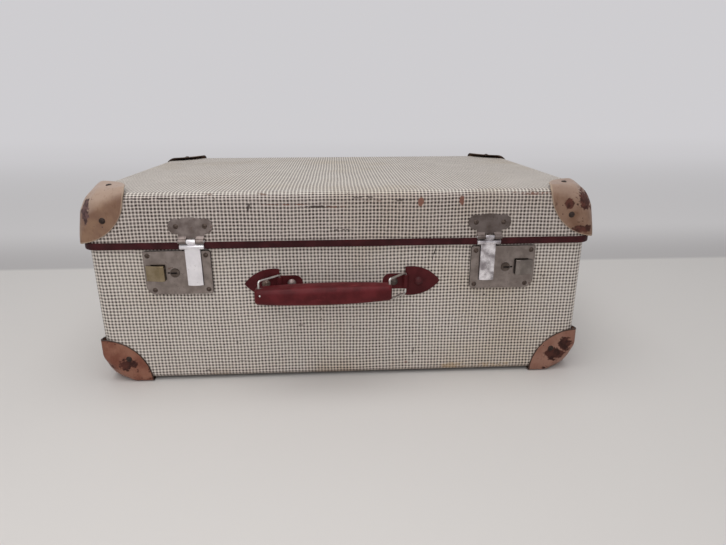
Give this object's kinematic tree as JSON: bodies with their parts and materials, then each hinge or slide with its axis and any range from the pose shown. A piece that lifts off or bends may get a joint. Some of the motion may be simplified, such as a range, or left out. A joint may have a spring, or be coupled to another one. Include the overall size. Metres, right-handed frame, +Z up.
{
  "type": "suitcase",
  "caption": "Hard fibreboard suitcase with a lift-over hinged lid, riveted corner caps, slide locks with hasps and a ring-hung grip.",
  "frame": {"origin": "on the table under the middle of the whole part, handle and rear hinges included", "axes": "+X to the right along the front, +Y from the handle side to the hinge side, +Z up"},
  "size_m": [0.5056, 0.37, 0.2004],
  "materials": {
    "check_board": "fibreboard covered with printed check paper",
    "lining": "plain lining",
    "frame_board": "bare fibreboard strip",
    "binding": "maroon binding",
    "cap_paint": "worn cream paint on pressed steel",
    "maroon_fibre": "maroon leather cloth",
    "dull_steel": "tarnished plated steel",
    "bright_steel": "bright plated steel",
    "rusty_steel": "rusty rivets"
  },
  "bodies": {
    "base": {"base_shell": "check_board", "base_lining": "lining", "base_cap_front_left": "cap_paint", "base_cap_front_right": "cap_paint", "base_cap_rear_left": "cap_paint", "base_cap_rear_right": "cap_paint", "base_cap_rivets": "rusty_steel", "handle_rivets": "rusty_steel", "hinge_base_rivets": "rusty_steel", "handle_plate_left": "maroon_fibre", "lock_plate_left": "dull_steel", "lock_back_left": "dull_steel", "lock_rivets_left": "rusty_steel", "bolt_spring_left": "bright_steel", "hinge_base_leaf_left": "dull_steel", "hinge_pin_left": "dull_steel", "handle_plate_right": "maroon_fibre", "lock_plate_right": "dull_steel", "lock_back_right": "dull_steel", "lock_rivets_right": "rusty_steel", "bolt_spring_right": "bright_steel", "hinge_base_leaf_right": "dull_steel", "hinge_pin_right": "dull_steel"},
    "lid": {"lid_shell": "check_board", "lid_lining": "lining", "lid_frame": "frame_board", "lid_binding": "binding", "lid_cap_front_left": "cap_paint", "lid_cap_front_right": "cap_paint", "lid_cap_rear_left": "cap_paint", "lid_cap_rear_right": "cap_paint", "lid_cap_rivets": "rusty_steel", "hinge_lid_rivets": "rusty_steel", "hasp_plate_left": "dull_steel", "hasp_pin_left": "bright_steel", "hasp_rivets_left": "dull_steel", "hinge_lid_leaf_left": "dull_steel", "hasp_plate_right": "dull_steel", "hasp_pin_right": "bright_steel", "hasp_rivets_right": "dull_steel", "hinge_lid_leaf_right": "dull_steel"},
    "hasp_left": {"hasp_left": "bright_steel"},
    "slider_left": {"slide_button_left": "dull_steel", "slide_bolt_left": "dull_steel"},
    "plug_left": {"key_plug_left": "dull_steel", "key_cam_left": "dull_steel"},
    "ring_left": {"handle_ring_left": "dull_steel"},
    "hasp_right": {"hasp_right": "bright_steel"},
    "slider_right": {"slide_button_right": "dull_steel", "slide_bolt_right": "dull_steel"},
    "plug_right": {"key_plug_right": "dull_steel", "key_cam_right": "dull_steel"},
    "ring_right": {"handle_ring_right": "dull_steel"},
    "grip": {"handle_grip": "maroon_fibre", "handle_core": "dull_steel"}
  },
  "joints": [
    {"name": "lid_hinge", "type": "hinge", "parent": "base", "child": "lid", "pos_m": [0, 0.18255, 0.14355], "axis": [-1, 0, 0], "range_deg": [0, 175]},
    {"name": "hasp_hinge_left", "type": "hinge", "parent": "lid", "child": "hasp_left", "pos_m": [-0.1445, -0.15995, 0.15175], "axis": [-1, 0, 0], "range_deg": [0, 135]},
    {"name": "button_slide_left", "type": "slide", "parent": "base", "child": "slider_left", "axis": [-1, 0, 0], "range_m": [0, 0.0045], "stiffness_N_per_m": 300, "springref_m": -0.006, "deforming": ["bolt_spring_left"]},
    {"name": "key_turn_left", "type": "hinge", "parent": "base", "child": "plug_left", "pos_m": [-0.164, -0.15285, 0.1195], "axis": [0, 1, 0], "range_deg": [0, 90]},
    {"name": "hasp_hinge_right", "type": "hinge", "parent": "lid", "child": "hasp_right", "pos_m": [0.1445, -0.15995, 0.15175], "axis": [-1, 0, 0], "range_deg": [0, 135]},
    {"name": "button_slide_right", "type": "slide", "parent": "base", "child": "slider_right", "axis": [1, 0, 0], "range_m": [0, 0.0045], "stiffness_N_per_m": 300, "springref_m": -0.006, "deforming": ["bolt_spring_right"]},
    {"name": "key_turn_right", "type": "hinge", "parent": "base", "child": "plug_right", "pos_m": [0.164, -0.15285, 0.1195], "axis": [0, -1, 0], "range_deg": [0, 90]},
    {"name": "ring_swing_left", "type": "hinge", "parent": "base", "child": "ring_left", "pos_m": [-0.063, -0.15585, 0.1045], "axis": [0, 0, 1], "range_deg": [-16, 104]},
    {"name": "ring_swing_right", "type": "hinge", "parent": "base", "child": "ring_right", "pos_m": [0.063, -0.15585, 0.1045], "axis": [0, 0, 1], "range_deg": [-16, 104]},
    {"name": "grip_swing", "type": "hinge", "parent": "ring_left", "child": "grip", "pos_m": [-0.08106, -0.17455, 0.1045], "axis": [0, 0, 1], "range_deg": [-104, 16]}
  ],
  "couplings": [
    {"joint": "ring_swing_right", "follows": "ring_swing_left", "ratio": 1},
    {"joint": "grip_swing", "follows": "ring_swing_left", "ratio": -1}
  ]
}
